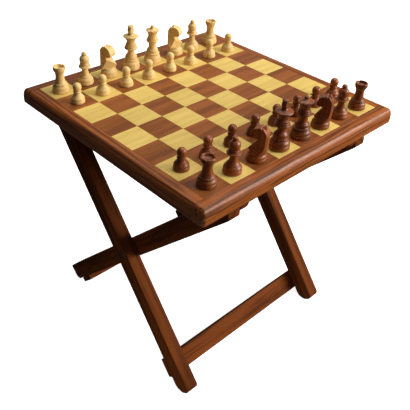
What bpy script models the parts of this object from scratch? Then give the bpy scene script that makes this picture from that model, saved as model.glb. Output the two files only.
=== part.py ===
"""Folding chess table with a full set of pieces.

Metres, +Z up. The origin is on the floor under the middle of the table top. The dark player sits at -Y and
looks along +Y, with +X on the right; the light player sits opposite.
The legs are two frames crossed like an X. The inner frame hangs on two battens under the dark player's edge,
and the outer frame is pivoted to it where the legs cross; its top ends slide under the table top.
"""
import math

import bmesh
import bpy
from mathutils import Vector

MM = 0.001
GAP = 0.0003
CUT_OVERRUN = 0.002
HOLE_STEPS = 8
SHARP_ANGLE = math.radians(35)

# Table top
TOP_SIZE = 0.444
TOP_HEIGHT = 0.460
TOP_THICKNESS = 0.026
SQUARE = 0.050
FIELD = 8 * SQUARE
VENEER_THICKNESS = 0.002
UPPER_EDGE_WIDTH = 0.008
UPPER_EDGE_DEPTH = 0.015
LOWER_EDGE_RADIUS = 0.0025
CORNER_RADIUS = 0.006
UPPER_EDGE_STEPS = 6
LOWER_EDGE_STEPS = 2
CORNER_STEPS = 3
UNDERSIDE = TOP_HEIGHT - TOP_THICKNESS

# Leg frames
LEG_WIDTH = 0.0336
LEG_THICKNESS = 0.024
OUTER_HALF_WIDTH = 0.1883
FRAME_CLEARANCE = 0.001
INNER_HALF_WIDTH = OUTER_HALF_WIDTH - LEG_THICKNESS - FRAME_CLEARANCE
OUTER_ANGLE = math.radians(50.7)
INNER_ANGLE = math.radians(45.7)
PIVOT_HEIGHT = 0.216
HINGE_DROP = LEG_WIDTH / 2 + 0.0005
OUTER_FOOT_REACH = 0.2755
INNER_FOOT_REACH = 0.2931
OUTER_HEEL_RADIUS = 0.018
INNER_HEEL_RADIUS = 0.012
OUTER_TOE_RADIUS = 0.010
INNER_TOE_RADIUS = 0.004
NEARLY_ROUND = 0.999
HINGE_REACH = (UNDERSIDE - HINGE_DROP - PIVOT_HEIGHT) / math.sin(INNER_ANGLE)
SLIDING_REACH = (UNDERSIDE - HINGE_DROP - PIVOT_HEIGHT) / math.sin(OUTER_ANGLE)
HINGE_Y = -HINGE_REACH * math.cos(INNER_ANGLE)
HINGE_Z = UNDERSIDE - HINGE_DROP

# Stretchers
STRETCHER_THICKNESS = 0.010
STRETCHER_WIDTH = 0.036
OUTER_STRETCHER_REACH = 0.2455
INNER_STRETCHER_REACH = 0.268

# Battens
BATTEN_THICKNESS = 0.0175
BATTEN_HEIGHT = 0.030
BATTEN_HALF_LENGTH = 0.2125
BATTEN_END_RADIUS = 0.022
BATTEN_OUTER_X = INNER_HALF_WIDTH - LEG_THICKNESS - 0.0008

# Fasteners
BOLT_RADIUS = 0.003
BORE_RADIUS = 0.0034
HEAD_RADIUS = 0.007
HEAD_THICKNESS = 0.003
HEAD_POCKET_RADIUS = 0.0076
NUT_RADIUS = 0.006
NUT_THICKNESS = 0.004
NUT_POCKET_RADIUS = 0.0068
WASHER_RADIUS = 0.008
HEAD_CHAMFER = 0.001
SCREW_RADIUS = 0.0018
SCREW_HEAD_RADIUS = 0.0036
SCREW_HEAD_HEIGHT = 0.0032
SCREW_RIM_HEIGHT = 0.0018
SCREW_CROWN_RADIUS = 0.0022
SCREW_POINT_RADIUS = 0.0004
SCREW_POINT_LENGTH = 0.003
SCREW_POCKET_RADIUS = 0.0042
SCREW_POCKET_DEPTH = 0.010
SCREW_LENGTH = 0.030
SCREW_Y = 0.120
ROUND_STEPS = 12

# Chess pieces
PIECE_STEPS = 10
PIECE_FLOOR = TOP_HEIGHT + GAP


def clear_scene():
    for scene_object in list(bpy.data.objects):
        bpy.data.objects.remove(scene_object, do_unlink=True)


def wood(name, colour, roughness):
    material = bpy.data.materials.new(name)
    material.use_nodes = True
    shader = material.node_tree.nodes["Principled BSDF"]
    shader.inputs["Base Color"].default_value = (*colour, 1.0)
    shader.inputs["Roughness"].default_value = roughness
    return material


def metal(name, colour, roughness):
    material = wood(name, colour, roughness)
    material.node_tree.nodes["Principled BSDF"].inputs["Metallic"].default_value = 1.0
    return material


def new_object(name, mesh_builder, material, smooth=False):
    """Turn a bmesh into a named object with outward faces."""
    bmesh.ops.recalc_face_normals(mesh_builder, faces=mesh_builder.faces)
    mesh = bpy.data.meshes.new(name)
    mesh_builder.to_mesh(mesh)
    mesh_builder.free()
    mesh.materials.append(material)
    if smooth:
        mesh.shade_smooth()
        mesh.set_sharp_from_angle(angle=SHARP_ANGLE)
    piece = bpy.data.objects.new(name, mesh)
    bpy.context.scene.collection.objects.link(piece)
    return piece


def set_origin(piece, origin):
    """Move the object's origin to a point in the world without moving its shape."""
    offset = Vector(origin) - piece.location
    for vertex in piece.data.vertices:
        vertex.co -= offset
    piece.location = Vector(origin)


# Outlines

def fillet(corners, steps=6):
    """Round a closed polygon. Each corner is (a, b, radius)."""
    outline = []
    count = len(corners)
    for index, (a, b, radius) in enumerate(corners):
        here = Vector((a, b))
        if radius <= 0:
            outline.append((a, b))
            continue
        before = Vector(corners[index - 1][:2])
        after = Vector(corners[(index + 1) % count][:2])
        to_before = (before - here).normalized()
        to_after = (after - here).normalized()
        half_angle = to_before.angle(to_after) / 2
        centre = here + (to_before + to_after).normalized() * (radius / math.sin(half_angle))
        tangent = radius / math.tan(half_angle)
        start = here + to_before * tangent - centre
        end = here + to_after * tangent - centre
        turn = start.angle_signed(end)
        for step in range(steps + 1):
            angle = -turn * step / steps
            spoke = Vector((start.x * math.cos(angle) - start.y * math.sin(angle),
                            start.x * math.sin(angle) + start.y * math.cos(angle)))
            outline.append(tuple(centre + spoke))
    return outline


def prism(outline, low_x, high_x, place):
    """Extrude an outline along X. place turns an outline point into (y, z)."""
    builder = bmesh.new()
    near = []
    far = []
    for point in outline:
        y, z = place(point)
        near.append(builder.verts.new((low_x, y, z)))
        far.append(builder.verts.new((high_x, y, z)))
    builder.faces.new(near)
    builder.faces.new(list(reversed(far)))
    count = len(outline)
    for index in range(count):
        follower = (index + 1) % count
        builder.faces.new((near[index], far[index], far[follower], near[follower]))
    return builder


def box(low, high):
    builder = bmesh.new()
    bmesh.ops.create_cube(builder, size=1.0)
    for vertex in builder.verts:
        vertex.co = Vector(low[axis] if vertex.co[axis] < 0 else high[axis] for axis in range(3))
    return builder


def turned(profile, steps=PIECE_STEPS):
    """Turn a profile of (radius, height) points, listed from the bottom up, around Z."""
    builder = bmesh.new()
    rings = []
    for radius, height in profile:
        ring = []
        for step in range(steps):
            angle = 2 * math.pi * step / steps
            ring.append(builder.verts.new((radius * math.cos(angle), radius * math.sin(angle), height)))
        rings.append(ring)
    for lower, upper in zip(rings, rings[1:]):
        for index in range(steps):
            follower = (index + 1) % steps
            builder.faces.new((lower[index], lower[follower], upper[follower], upper[index]))
    builder.faces.new(list(reversed(rings[0])))
    builder.faces.new(rings[-1])
    return builder


def rod(radius, low_x, high_x, y, z, steps=ROUND_STEPS):
    """A round bar along X."""
    builder = turned([(radius, low_x), (radius, high_x)], steps)
    for vertex in builder.verts:
        vertex.co = Vector((vertex.co.z, y + vertex.co.x, z + vertex.co.y))
    return builder


def slice_away(builder, point, outward):
    """Cut the solid with a plane and close the cut, dropping what lies on the outward side."""
    parts = builder.verts[:] + builder.edges[:] + builder.faces[:]
    bmesh.ops.bisect_plane(builder, geom=parts, dist=1e-6, plane_co=point, plane_no=outward, clear_outer=True)
    rim = [edge for edge in builder.edges if edge.is_boundary]
    bmesh.ops.edgenet_fill(builder, edges=rim)
    return builder


def cut(target, name, builder, operation="DIFFERENCE"):
    """Boolean a solid into the target, keeping the tool as a hidden wire object."""
    tool = new_object(name, builder, target.data.materials[0])
    tool.hide_render = True
    tool.display_type = "WIRE"
    modifier = target.modifiers.new(name, "BOOLEAN")
    modifier.operation = operation
    modifier.solver = "EXACT"
    modifier.object = tool
    return tool


# Table top

def quarter_oval(width, depth, steps):
    """Points of (inset, drop) from the outer face round to the flat face."""
    points = []
    for step in range(steps + 1):
        angle = math.pi / 2 * step / steps
        points.append((width * (1 - math.cos(angle)), depth * (1 - math.sin(angle))))
    return points


def rounded_slab():
    """The whole table top as a stack of rings: deep rounding above, small one below, eased corners."""
    levels = []
    for inset, drop in reversed(quarter_oval(LOWER_EDGE_RADIUS, LOWER_EDGE_RADIUS, LOWER_EDGE_STEPS)):
        levels.append((inset, UNDERSIDE + drop))
    for inset, drop in quarter_oval(UPPER_EDGE_WIDTH, UPPER_EDGE_DEPTH, UPPER_EDGE_STEPS):
        levels.append((inset, TOP_HEIGHT - drop))
    builder = bmesh.new()
    rings = []
    centre = TOP_SIZE / 2 - CORNER_RADIUS
    for inset, height in levels:
        ring = []
        for quarter, (side_x, side_y) in enumerate(((1, 1), (-1, 1), (-1, -1), (1, -1))):
            shrink = max(inset - CORNER_RADIUS, 0)
            radius = max(CORNER_RADIUS - inset, CORNER_RADIUS * 0.02)
            for step in range(CORNER_STEPS + 1):
                angle = math.pi / 2 * (quarter + step / CORNER_STEPS)
                x = side_x * (centre - shrink) + radius * math.cos(angle)
                y = side_y * (centre - shrink) + radius * math.sin(angle)
                ring.append(builder.verts.new((x, y, height)))
        rings.append(ring)
    for lower, upper in zip(rings, rings[1:]):
        for index in range(len(lower)):
            follower = (index + 1) % len(lower)
            builder.faces.new((lower[index], lower[follower], upper[follower], upper[index]))
    builder.faces.new(list(reversed(rings[0])))
    builder.faces.new(rings[-1])
    return builder


def build_rails(material):
    inner = FIELD / 2
    for name, side in (("border_rail_dark_side", -1), ("border_rail_light_side", 1)):
        rail = rounded_slab()
        slice_away(rail, (0, side * inner, 0), (0, -side, 0))
        new_object(name, rail, material)
    for name, side in (("border_rail_left", -1), ("border_rail_right", 1)):
        rail = rounded_slab()
        slice_away(rail, (side * inner, 0, 0), (-side, 0, 0))
        slice_away(rail, (0, inner - GAP, 0), (0, 1, 0))
        slice_away(rail, (0, GAP - inner, 0), (0, -1, 0))
        new_object(name, rail, material)


def build_board(core_material, veneer_material):
    reach = FIELD / 2 - GAP
    veneer_base = TOP_HEIGHT - VENEER_THICKNESS
    core = new_object("playing_board_core", box((-reach, -reach, UNDERSIDE),
                                                (reach, reach, veneer_base - GAP)), core_material)
    pilot_depth = SCREW_LENGTH + SCREW_POCKET_DEPTH - BATTEN_HEIGHT + GAP
    for index, (x, y) in enumerate(screw_places(), 1):
        pilot = turned([(SCREW_RADIUS + GAP, UNDERSIDE - CUT_OVERRUN),
                        (SCREW_RADIUS + GAP, UNDERSIDE + pilot_depth)], HOLE_STEPS)
        bmesh.ops.translate(pilot, vec=(x, y, 0), verts=pilot.verts)
        cut(core, f"pilot_hole_{index}", pilot)
    new_object("chessboard_veneer", box((-reach, -reach, veneer_base), (reach, reach, TOP_HEIGHT)),
               veneer_material)


def screw_places():
    x = BATTEN_OUTER_X - BATTEN_THICKNESS / 2
    return [(side * x, end * SCREW_Y) for side in (-1, 1) for end in (-1, 1)]


def build_battens(material):
    top = UNDERSIDE - GAP
    bottom = UNDERSIDE - BATTEN_HEIGHT
    corners = [(-BATTEN_HALF_LENGTH, top, 0), (-BATTEN_HALF_LENGTH, bottom, BATTEN_END_RADIUS),
               (BATTEN_HALF_LENGTH, bottom, BATTEN_END_RADIUS), (BATTEN_HALF_LENGTH, top, 0)]
    outline = fillet(corners)
    for name, side in (("left", -1), ("right", 1)):
        outer = side * BATTEN_OUTER_X
        inner = side * (BATTEN_OUTER_X - BATTEN_THICKNESS)
        batten = new_object(f"under_batten_{name}", prism(outline, outer, inner, lambda point: point),
                            material)
        cut(batten, f"batten_bore_{name}",
            rod(BORE_RADIUS, inner - side * CUT_OVERRUN, outer + side * CUT_OVERRUN,
                                               HINGE_Y, HINGE_Z))
        pocket_depth = NUT_THICKNESS + 2 * GAP
        cut(batten, f"batten_nut_pocket_{name}", rod(NUT_POCKET_RADIUS, inner - side * CUT_OVERRUN,
                                                     inner + side * pocket_depth, HINGE_Y, HINGE_Z))
        for index, (x, y) in enumerate(screw_places(), 1):
            if x * side < 0:
                continue
            hole = turned([(SCREW_POCKET_RADIUS, bottom - CUT_OVERRUN),
                           (SCREW_POCKET_RADIUS, bottom + SCREW_POCKET_DEPTH),
                           (SCREW_RADIUS + GAP, bottom + SCREW_POCKET_DEPTH),
                           (SCREW_RADIUS + GAP, top + CUT_OVERRUN)], HOLE_STEPS)
            bmesh.ops.translate(hole, vec=(x, y, 0), verts=hole.verts)
            cut(batten, f"batten_screw_hole_{index}", hole)


def build_batten_screws(material):
    seat = UNDERSIDE - BATTEN_HEIGHT + SCREW_POCKET_DEPTH
    tip = seat + SCREW_LENGTH - SCREW_POCKET_DEPTH
    for index, (x, y) in enumerate(screw_places(), 1):
        screw = turned([(SCREW_CROWN_RADIUS, seat - SCREW_HEAD_HEIGHT),
                        (SCREW_HEAD_RADIUS, seat - SCREW_RIM_HEIGHT),
                        (SCREW_HEAD_RADIUS, seat - GAP),
                        (SCREW_RADIUS, seat - GAP),
                        (SCREW_RADIUS, tip - SCREW_POINT_LENGTH),
                        (SCREW_POINT_RADIUS, tip)], HOLE_STEPS)
        bmesh.ops.translate(screw, vec=(x, y, 0), verts=screw.verts)
        new_object(f"batten_screw_{index}", screw, material, smooth=True)


# Leg frames. An outline point is (reach up the leg from the crossing, depth towards the leg's under side).

def on_outer_leg(point):
    reach, depth = point
    y = reach * math.cos(OUTER_ANGLE) + depth * math.sin(OUTER_ANGLE)
    z = PIVOT_HEIGHT + reach * math.sin(OUTER_ANGLE) - depth * math.cos(OUTER_ANGLE)
    return y, z


def on_inner_leg(point):
    reach, depth = point
    y = -reach * math.cos(INNER_ANGLE) - depth * math.sin(INNER_ANGLE)
    z = PIVOT_HEIGHT + reach * math.sin(INNER_ANGLE) - depth * math.cos(INNER_ANGLE)
    return y, z


def outer_leg_outline():
    half = LEG_WIDTH / 2
    end = SLIDING_REACH + half
    return fillet([(-OUTER_FOOT_REACH, -half, OUTER_TOE_RADIUS), (-OUTER_FOOT_REACH, half, OUTER_HEEL_RADIUS),
                   (end, half, half * NEARLY_ROUND), (end, -half, half * NEARLY_ROUND)])


def inner_leg_outline():
    """The hinged end is round over the hinge axis and cut upright at the table's edge."""
    half = LEG_WIDTH / 2
    lean = math.sin(INNER_ANGLE)
    high = HINGE_REACH + half * (1 + lean) / math.cos(INNER_ANGLE)
    low = HINGE_REACH + half * (1 - lean) / math.cos(INNER_ANGLE)
    return fillet([(-INNER_FOOT_REACH, -half, INNER_TOE_RADIUS), (-INNER_FOOT_REACH, half, INNER_HEEL_RADIUS),
                   (low, half, INNER_TOE_RADIUS), (high, -half, half)])


def build_outer_frame(material):
    outline = outer_leg_outline()
    for name, side in (("left", -1), ("right", 1)):
        outer = side * OUTER_HALF_WIDTH
        inner = side * (OUTER_HALF_WIDTH - LEG_THICKNESS)
        leg = slice_away(prism(outline, outer, inner, on_outer_leg), (0, 0, 0), (0, 0, -1))
        leg = new_object(f"outer_leg_{name}", leg, material)
        cut(leg, f"outer_leg_bore_{name}",
            rod(BORE_RADIUS, inner - side * CUT_OVERRUN, outer + side * CUT_OVERRUN,
                                               0, PIVOT_HEIGHT))
        pocket_depth = HEAD_THICKNESS + 2 * GAP
        cut(leg, f"outer_leg_head_pocket_{name}", rod(HEAD_POCKET_RADIUS, outer - side * pocket_depth,
                                                      outer + side * CUT_OVERRUN, 0, PIVOT_HEIGHT))
        set_origin(leg, (0, 0, PIVOT_HEIGHT))
    back = LEG_WIDTH / 2 + GAP
    strip = [(-OUTER_STRETCHER_REACH, back), (-OUTER_STRETCHER_REACH + STRETCHER_WIDTH, back),
             (-OUTER_STRETCHER_REACH + STRETCHER_WIDTH, back + STRETCHER_THICKNESS),
             (-OUTER_STRETCHER_REACH, back + STRETCHER_THICKNESS)]
    stretcher = prism(strip, -OUTER_HALF_WIDTH, OUTER_HALF_WIDTH, on_outer_leg)
    set_origin(new_object("outer_stretcher", stretcher, material), (0, 0, PIVOT_HEIGHT))


def build_inner_frame(material):
    outline = inner_leg_outline()
    for name, side in (("left", -1), ("right", 1)):
        outer = side * INNER_HALF_WIDTH
        inner = side * (INNER_HALF_WIDTH - LEG_THICKNESS)
        leg = slice_away(prism(outline, outer, inner, on_inner_leg), (0, 0, 0), (0, 0, -1))
        leg = new_object(f"inner_leg_{name}", leg, material)
        for label, y, z in (("hinge", HINGE_Y, HINGE_Z), ("pivot", 0, PIVOT_HEIGHT)):
            cut(leg, f"inner_leg_{label}_bore_{name}", rod(BORE_RADIUS, inner - side * CUT_OVERRUN,
                                                           outer + side * CUT_OVERRUN, y, z))
        head_depth = HEAD_THICKNESS + 2 * GAP
        cut(leg, f"inner_leg_head_pocket_{name}", rod(HEAD_POCKET_RADIUS, outer - side * head_depth,
                                                      outer + side * CUT_OVERRUN, HINGE_Y, HINGE_Z))
        nut_depth = NUT_THICKNESS + 2 * GAP
        cut(leg, f"inner_leg_nut_pocket_{name}", rod(NUT_POCKET_RADIUS, inner - side * CUT_OVERRUN,
                                                     inner + side * nut_depth, 0, PIVOT_HEIGHT))
        set_origin(leg, (0, HINGE_Y, HINGE_Z))
    back = LEG_WIDTH / 2 + GAP
    strip = [(-INNER_STRETCHER_REACH, back), (-INNER_STRETCHER_REACH + STRETCHER_WIDTH, back),
             (-INNER_STRETCHER_REACH + STRETCHER_WIDTH, back + STRETCHER_THICKNESS),
             (-INNER_STRETCHER_REACH, back + STRETCHER_THICKNESS)]
    stretcher = prism(strip, -INNER_HALF_WIDTH, INNER_HALF_WIDTH, on_inner_leg)
    set_origin(new_object("inner_stretcher", stretcher, material), (0, HINGE_Y, HINGE_Z))


# Fasteners

def bolt(name, side, head_face, tip, y, z, material):
    """A flat-headed bolt whose head faces outwards at head_face and whose shank ends at tip."""
    seat = head_face - HEAD_THICKNESS
    profile = [(BOLT_RADIUS, -tip), (BOLT_RADIUS, -seat), (HEAD_RADIUS, -seat),
               (HEAD_RADIUS, HEAD_CHAMFER - head_face), (HEAD_RADIUS - HEAD_CHAMFER, -head_face)]
    builder = turned([(radius, -height) for radius, height in profile], ROUND_STEPS)
    for vertex in builder.verts:
        vertex.co = Vector((side * vertex.co.z, y + vertex.co.x, z + vertex.co.y))
    return new_object(name, builder, material, smooth=True)


def nut(name, side, low, y, z, material):
    """A hexagonal nut with a plain hole."""
    thread = new_object(name, rod(NUT_RADIUS, side * low, side * (low + NUT_THICKNESS), y, z, 6), material)
    cut(thread, f"{name}_hole",
        rod(BORE_RADIUS, side * (low - CUT_OVERRUN), side * (low + NUT_THICKNESS + CUT_OVERRUN), y, z))
    return thread


def build_fasteners(material):
    outer_face = OUTER_HALF_WIDTH
    inner_face = INNER_HALF_WIDTH
    inner_back = INNER_HALF_WIDTH - LEG_THICKNESS
    batten_back = BATTEN_OUTER_X - BATTEN_THICKNESS
    for name, side in (("left", -1), ("right", 1)):
        pivot = bolt(f"pivot_bolt_{name}", side, outer_face - GAP, inner_back + GAP, 0, PIVOT_HEIGHT,
                     material)
        pivot_nut = nut(f"pivot_nut_{name}", side, inner_back + GAP, 0, PIVOT_HEIGHT, material)
        low = inner_face + GAP
        high = outer_face - LEG_THICKNESS - GAP
        washer = new_object(f"pivot_washer_{name}",
                            rod(WASHER_RADIUS, side * low, side * high, 0, PIVOT_HEIGHT),
                            material)
        cut(washer, f"pivot_washer_hole_{name}",
            rod(BORE_RADIUS, side * (low - CUT_OVERRUN), side * (high + CUT_OVERRUN),
                                                     0, PIVOT_HEIGHT))
        for piece in (pivot, pivot_nut, washer):
            set_origin(piece, (0, 0, PIVOT_HEIGHT))
        bolt(f"hinge_bolt_{name}", side, inner_face - GAP, batten_back + GAP, HINGE_Y, HINGE_Z, material)
        nut(f"hinge_nut_{name}", side, batten_back + GAP, HINGE_Y, HINGE_Z, material)


# Chess pieces. Sizes are in millimetres and heights start at the foot of the piece.

def arc(centre, radius, start, end, steps):
    """Points of (radius, height) on a ball, from one latitude to another in degrees."""
    points = []
    for step in range(steps + 1):
        latitude = math.radians(start + (end - start) * step / steps)
        points.append((radius * math.cos(latitude), centre + radius * math.sin(latitude)))
    return points


# Outline of a foot as (radius, height), both as shares of the foot's radius
FOOT_OUTLINE = [(0.93, 0), (1, 0.12), (1, 0.36), (0.86, 0.62)]


def foot(radius):
    """The bulged foot that every piece stands on."""
    return [(radius * share, radius * rise) for share, rise in FOOT_OUTLINE]


def pawn_profile():
    return foot(11.5) + [(7.8, 9.0), (5.4, 17.2), (6.9, 18.0), (6.9, 19.4), (5.3, 20.2)] + arc(26.6, 7, -48,
                                                                                               85, 5)


def rook_profile():
    return foot(14) + [(11.0, 11.5), (11.2, 14.2), (8.2, 16.0), (6.9, 28.0), (7.7, 33.4), (9.9, 37.5),
                       (10.2, 44.3),
                       (7.6, 44.3), (7.2, 39.5)]


def bishop_profile():
    return foot(13.7) + [(10.4, 13.0), (7.4, 17.5), (5.3, 25.0), (10.3, 29.5), (10.3, 31.5), (6.4, 33.0),
                         (7.8, 35.5),
                         (8.2, 43.0), (6.4, 48.5), (3.2, 50.5), (4.4, 53.0), (2.6, 56.0)]


def queen_profile():
    return foot(15.5) + [(13.2, 16.5), (10.4, 20.0), (10.4, 23.5), (7.0, 29.0), (7.4, 37.0), (11.2, 40.5),
                         (10.4, 44.0), (7.8, 48.5), (9.0, 54.0), (12.2, 60.0), (4.0, 62.5), (3.0, 64.0),
                         (3.2, 67.0), (1.0, 68.5)]


def king_profile():
    return foot(15.8) + [(13.2, 18.0), (10.3, 21.0), (10.0, 24.5), (6.4, 31.0), (7.0, 36.0), (11.9, 38.5),
                         (9.6, 45.5), (7.6, 51.0), (13.6, 59.5), (12.4, 61.5), (4.6, 64.0), (4.0, 65.5)]


def knight_profile():
    return foot(14.7) + [(12.4, 10.5), (11.0, 13.0), (9.0, 14.5)]


KING_CROSS = [(-3.6, 62.5), (-2.6, 66.5), (-5.8, 67.5), (-5.8, 73.5), (-2.8, 74.5), (-4.4, 79.0),
              (4.4, 79.0), (2.8, 74.5), (5.8, 73.5), (5.8, 67.5), (2.6, 66.5), (3.6, 62.5)]
KNIGHT_HEAD = [(-12.0, 12.5), (-13.0, 20.0), (-13.0, 38.0), (-12.0, 44.0), (-9.0, 50.5), (-5.0, 54.6),
               (-0.5, 53.6), (3.5, 52.0), (8.5, 47.4), (10.5, 41.0), (8.0, 36.8), (-1.1, 35.4), (5.4, 27.4),
               (11.2, 20.4), (6.4, 15.0), (6.4, 12.5)]
KNIGHT_THICKNESS = 16.0
CROSS_THICKNESS = 5.0

PROFILES = {"pawn": pawn_profile, "rook": rook_profile, "bishop": bishop_profile, "queen": queen_profile,
            "king": king_profile, "knight": knight_profile}

# Files from the dark player's left to right, and how far each knight is turned about its own upright
# axis (degrees, anticlockwise from above)
BACK_RANK = ("rook_left", "bishop_left", "knight_left", "king", "queen", "knight_right", "bishop_right",
             "rook_right")
KNIGHT_TURN = {"light_knight_left": 13, "light_knight_right": 28,
               "dark_knight_left": 18, "dark_knight_right": 22}
PAWNS = len(BACK_RANK)
# The pieces stand a little to one side of their squares' middles: 1 mm left and 4 mm nearer the dark player
SET_SHIFT = Vector((-0.001, -0.004))
# One knight stands well to the right in its square
STRAY_PIECE = "light_knight_right"
STRAY_SHIFT = Vector((0.007, 0))


def square_centre(file, rank):
    return ((file - 3.5) * SQUARE, (rank - 3.5) * SQUARE)


def side_plate(outline, thickness, facing):
    """An outline of (forward, height) cut from a plate, facing along +Y or -Y."""
    half = thickness / 2
    return prism([(forward * facing, height) for forward, height in outline], -half, half,
                 lambda point: point)


def build_piece(name, kind, place, facing, turn, material):
    builder = turned(PROFILES[kind]())
    bmesh.ops.scale(builder, vec=(MM, MM, MM), verts=builder.verts)
    piece = new_object(name, builder, material, smooth=True)
    extra = None
    if kind == "knight":
        extra = side_plate(KNIGHT_HEAD, KNIGHT_THICKNESS, facing)
    if kind == "king":
        extra = side_plate(KING_CROSS, CROSS_THICKNESS, facing)
        for vertex in extra.verts:
            vertex.co.x, vertex.co.y = vertex.co.y, vertex.co.x
    if extra:
        bmesh.ops.scale(extra, vec=(MM, MM, MM), verts=extra.verts)
        carving = cut(piece, f"{name}_carving", extra, "UNION")
        carving.location = (*place, PIECE_FLOOR)
        carving.rotation_euler.z = turn
    piece.location = (*place, PIECE_FLOOR)


def standing_place(name, file, rank):
    """Where a piece's middle stands on the board."""
    place = Vector(square_centre(file, rank)) + SET_SHIFT
    if name == STRAY_PIECE:
        place += STRAY_SHIFT
    return tuple(place)


def build_army(colour, back_rank, pawn_rank, facing, material):
    for file, label in enumerate(BACK_RANK):
        name = f"{colour}_{label}"
        turn = math.radians(KNIGHT_TURN.get(name, 0))
        place = standing_place(name, file, back_rank)
        build_piece(name, label.split("_")[0], place, facing, turn, material)
    for file in range(PAWNS):
        name = f"{colour}_pawn_{file + 1}"
        build_piece(name, "pawn", standing_place(name, file, pawn_rank), facing, 0, material)


def main():
    clear_scene()
    dark_wood = wood("dark_wood", (0.20, 0.075, 0.030), 0.35)
    board_wood = wood("board_wood", (0.42, 0.22, 0.09), 0.40)
    light_wood = wood("light_wood", (0.80, 0.60, 0.28), 0.38)
    steel = metal("steel", (0.55, 0.53, 0.50), 0.35)
    build_rails(dark_wood)
    build_board(dark_wood, board_wood)
    build_battens(dark_wood)
    build_batten_screws(steel)
    build_outer_frame(dark_wood)
    build_inner_frame(dark_wood)
    build_fasteners(steel)
    build_army("dark", 0, 1, 1, dark_wood)
    build_army("light", 7, 6, -1, light_wood)


main()
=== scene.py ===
"""Looks for the folding chess table and its pieces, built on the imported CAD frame. Metres, +Z up."""
import math

import bmesh
import bpy
import numpy as np
from mathutils import Matrix, Vector


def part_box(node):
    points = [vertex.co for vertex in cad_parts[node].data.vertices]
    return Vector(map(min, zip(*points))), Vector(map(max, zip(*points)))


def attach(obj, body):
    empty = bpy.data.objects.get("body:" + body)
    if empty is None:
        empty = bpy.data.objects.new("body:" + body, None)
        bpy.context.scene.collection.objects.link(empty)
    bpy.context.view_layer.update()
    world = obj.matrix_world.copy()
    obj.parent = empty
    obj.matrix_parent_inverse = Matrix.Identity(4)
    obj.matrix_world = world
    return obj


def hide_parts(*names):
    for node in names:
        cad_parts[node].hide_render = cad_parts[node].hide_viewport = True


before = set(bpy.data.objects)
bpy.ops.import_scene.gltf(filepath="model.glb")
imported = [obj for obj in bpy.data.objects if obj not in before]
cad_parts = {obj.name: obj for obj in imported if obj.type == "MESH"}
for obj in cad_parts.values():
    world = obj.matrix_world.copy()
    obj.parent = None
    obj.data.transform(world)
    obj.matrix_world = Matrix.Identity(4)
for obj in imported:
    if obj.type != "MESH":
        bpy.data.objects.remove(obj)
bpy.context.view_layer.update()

MM = 0.001
RNG = np.random.default_rng(64)

# ---------------------------------------------------------------- camera, light and floor

scene = bpy.context.scene
scene.view_settings.view_transform = "Standard"

CAMERA_AT = (-0.64341, -0.61748, 0.91524)
# Degrees about x, y and z, from a camera that looks straight down
CAMERA_TURN = (53.333, -2.180, -42.417)
CAMERA_LENS = 51.54
CAMERA_SHIFT = (0.0551, -0.0220)


def make_camera():
    data = bpy.data.cameras.new("camera")
    data.lens = CAMERA_LENS
    data.sensor_width = 36.0
    data.shift_x, data.shift_y = CAMERA_SHIFT
    data.clip_start = 0.05
    data.clip_end = 50.0
    camera = bpy.data.objects.new("camera", data)
    camera.location = CAMERA_AT
    camera.rotation_euler = [math.radians(angle) for angle in CAMERA_TURN]
    scene.collection.objects.link(camera)
    scene.camera = camera


def soft_box(name, place, aim, width, height, power, colour=(1, 1, 1)):
    data = bpy.data.lights.new(name, "AREA")
    data.shape = "RECTANGLE"
    data.size = width
    data.size_y = height
    data.energy = power
    data.color = colour
    lamp = bpy.data.objects.new(name, data)
    lamp.location = place
    lamp.rotation_euler = (Vector(aim) - Vector(place)).to_track_quat("-Z", "Y").to_euler()
    scene.collection.objects.link(lamp)
    return lamp


def make_studio():
    soft_box("key_light", (1.85, -2.05, 1.55), (0, 0, 0.4), 1.8, 1.4, 112, (1.0, 0.97, 0.92))
    soft_box("top_light", (0.75, 0.2, 2.75), (0, 0, 0.45), 1.8, 1.8, 42, (1.0, 0.98, 0.94))
    soft_box("back_light", (1.3, 2.1, 0.8), (0, 0, 0.45), 2.4, 1.6, 4.2)
    soft_box("floor_bounce", (-0.45, -0.32, 0.04), (0.1, -0.22, 0.06), 0.5, 0.2, 0.4, (1.0, 0.95, 0.9))
    soft_box("inner_bounce", (-0.08, -0.30, 0.03), (0.19, -0.12, 0.16), 0.3, 0.3, 0.25, (1.0, 0.95, 0.9))
    world = bpy.data.worlds.new("studio")
    world.use_nodes = True
    world.node_tree.nodes["Background"].inputs["Color"].default_value = (1, 1, 1, 1)
    world.node_tree.nodes["Background"].inputs["Strength"].default_value = 0.055
    scene.world = world
    mesh = bpy.data.meshes.new("floor")
    reach = 14.0
    mesh.from_pydata([(-reach, -reach, 0), (reach, -reach, 0), (reach, reach, 0), (-reach, reach, 0)], [],
                     [(0, 1, 2, 3)])
    floor = bpy.data.objects.new("floor", mesh)
    floor.location.z = -0.0005
    scene.collection.objects.link(floor)
    paper = bpy.data.materials.new("floor_paper")
    paper.use_nodes = True
    shader = paper.node_tree.nodes["Principled BSDF"]
    shader.inputs["Base Color"].default_value = (0.86, 0.86, 0.86, 1)
    shader.inputs["Roughness"].default_value = 0.9
    shader.inputs["Specular IOR Level"].default_value = 0.1
    shader.inputs["Emission Color"].default_value = (1, 1, 1, 1)
    shader.inputs["Emission Strength"].default_value = 0.93
    mesh.materials.append(paper)
    floor.visible_diffuse = False
    floor.visible_glossy = False


# ---------------------------------------------------------------- materials

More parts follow.
